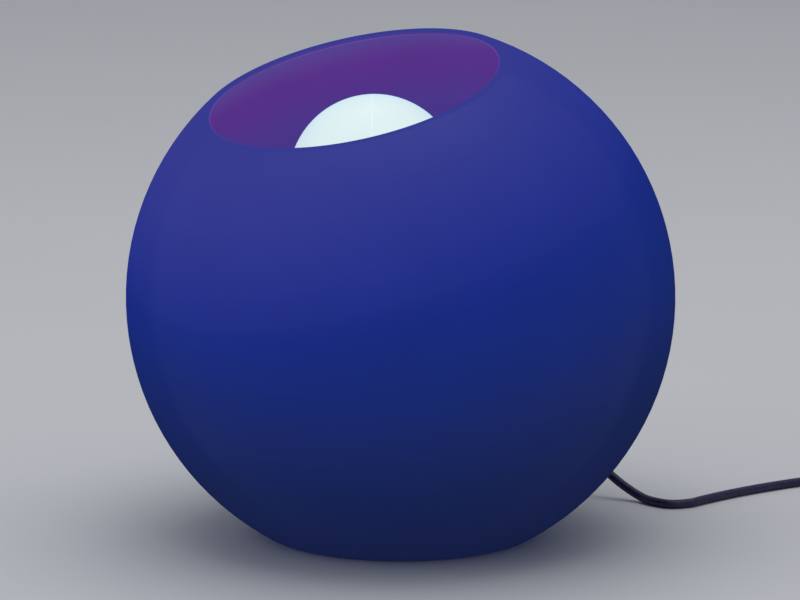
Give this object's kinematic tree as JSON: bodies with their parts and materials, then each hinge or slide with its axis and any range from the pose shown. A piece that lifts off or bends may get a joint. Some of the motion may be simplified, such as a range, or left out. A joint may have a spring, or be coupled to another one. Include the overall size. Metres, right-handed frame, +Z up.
{
  "type": "globe table lamp",
  "caption": "Satin glass globe lamp on a flat foot with a slanted open mouth, a screw-in globe bulb on a weighted insert, and a cord with rocker switch and flat plug.",
  "frame": {"origin": "centre of the underside of the foot's felt, on the table", "axes": "+Z up, the slanted mouth leans towards -Y, the cord leaves towards +Y"},
  "size_m": [0.4075, 0.4735, 0.2738],
  "materials": {
    "satin_glass": "satin-etched coloured glass, lit from inside",
    "felt": "dense dark felt",
    "black_rubber": "matt moulded rubber",
    "grey_nylon": "moulded nylon",
    "weight_paint": "textured powder coat on a cast disc",
    "stem_paint": "satin white enamel",
    "zinc_steel": "bright zinc plate",
    "white_phenolic": "moulded white phenolic",
    "steatite": "unglazed steatite",
    "brass_strip": "stamped and turned brass",
    "nickel": "nickel-plated brass",
    "black_glass": "black vitrite",
    "white_housing": "moulded white plastic",
    "opal_diffuser": "opal diffuser, lit",
    "board": "white and green circuit laminate",
    "led": "phosphor-topped light-emitting chips",
    "capacitor_sleeve": "heat-shrunk sleeve",
    "coil_wire": "enamelled copper on a ferrite core",
    "cord_sheath": "round two-core flex sheath",
    "live_wire": "brown wire insulation",
    "neutral_wire": "blue wire insulation",
    "switch_case": "fine-textured dark plastic",
    "switch_rocker": "polished dark plastic",
    "plunger_nylon": "natural acetal",
    "spring_steel": "drawn spring wire",
    "plug_plastic": "moulded dark plastic",
    "bridge_plastic": "glass-filled nylon"
  },
  "bodies": {
    "lamp": {"globe_shade": "satin_glass", "foot_felt": "felt", "weight_pad": "felt", "cord_grommet": "black_rubber", "plug_boot": "black_rubber", "cord_stop": "grey_nylon", "cord_clamps": "grey_nylon", "weight_disc": "weight_paint", "stem_bell": "stem_paint", "stem_tube": "stem_paint", "bell_screws": "zinc_steel", "stem_washer": "zinc_steel", "stem_nut": "zinc_steel", "threaded_rod": "zinc_steel", "holder_grub_screw": "zinc_steel", "case_screws": "zinc_steel", "holder_base_cap": "white_phenolic", "holder_sleeve": "white_phenolic", "holder_insulator": "steatite", "screw_shell": "brass_strip", "centre_contact": "brass_strip", "shell_contact": "brass_strip", "holder_terminals": "brass_strip", "holder_clamp_screws": "brass_strip", "supply_terminal": "brass_strip", "lamp_terminal": "brass_strip", "neutral_link": "brass_strip", "switch_clamp_screws": "brass_strip", "plug_pins": "nickel", "lamp_cord": "cord_sheath", "supply_cord": "cord_sheath", "holder_live_wire": "live_wire", "switch_live_wires": "live_wire", "plug_live_wire": "live_wire", "holder_neutral_wire": "neutral_wire", "switch_neutral_wires": "neutral_wire", "plug_neutral_wire": "neutral_wire", "switch_lower_case": "switch_case", "switch_upper_case": "switch_case", "plug_body": "plug_plastic", "plug_bridge": "bridge_plastic", "pin_sleeves": "bridge_plastic"},
    "bulb_rise": {"bulb_cap_insulator": "black_glass", "bulb_cap_contact": "nickel"},
    "bulb": {"bulb_cap_shell": "nickel", "bulb_housing": "white_housing", "bulb_diffuser": "opal_diffuser", "led_board": "board", "led_chips": "led", "driver_board": "board", "driver_capacitor": "capacitor_sleeve", "driver_coil": "coil_wire"},
    "rocker": {"switch_rocker": "switch_rocker", "switch_plunger": "plunger_nylon", "plunger_spring": "spring_steel"},
    "seesaw": {"seesaw_contact": "brass_strip"}
  },
  "joints": [
    {"name": "bulb_rise", "type": "slide", "parent": "lamp", "child": "bulb_rise", "axis": [0, -0.284, 0.9588], "range_m": [0, 0.01822]},
    {"name": "bulb_turn", "type": "hinge", "parent": "bulb_rise", "child": "bulb", "pos_m": [0, 0, 0.1312], "axis": [0, -0.284, 0.9588], "range_deg": [0, 1800]},
    {"name": "rocker_tilt", "type": "hinge", "parent": "lamp", "child": "rocker", "pos_m": [0.15, 0.31, 0.0145], "axis": [0, 1, 0], "range_deg": [0, 14]},
    {"name": "seesaw_tilt", "type": "hinge", "parent": "lamp", "child": "seesaw", "pos_m": [0.15, 0.31, 0.006], "axis": [0, 1, 0], "range_deg": [-10.1, 0]}
  ],
  "couplings": [
    {"joint": "bulb_rise", "follows": "bulb_turn", "m_per_rad": 0.00057757},
    {"joint": "seesaw_tilt", "follows": "rocker_tilt", "ratio": -0.71429}
  ]
}
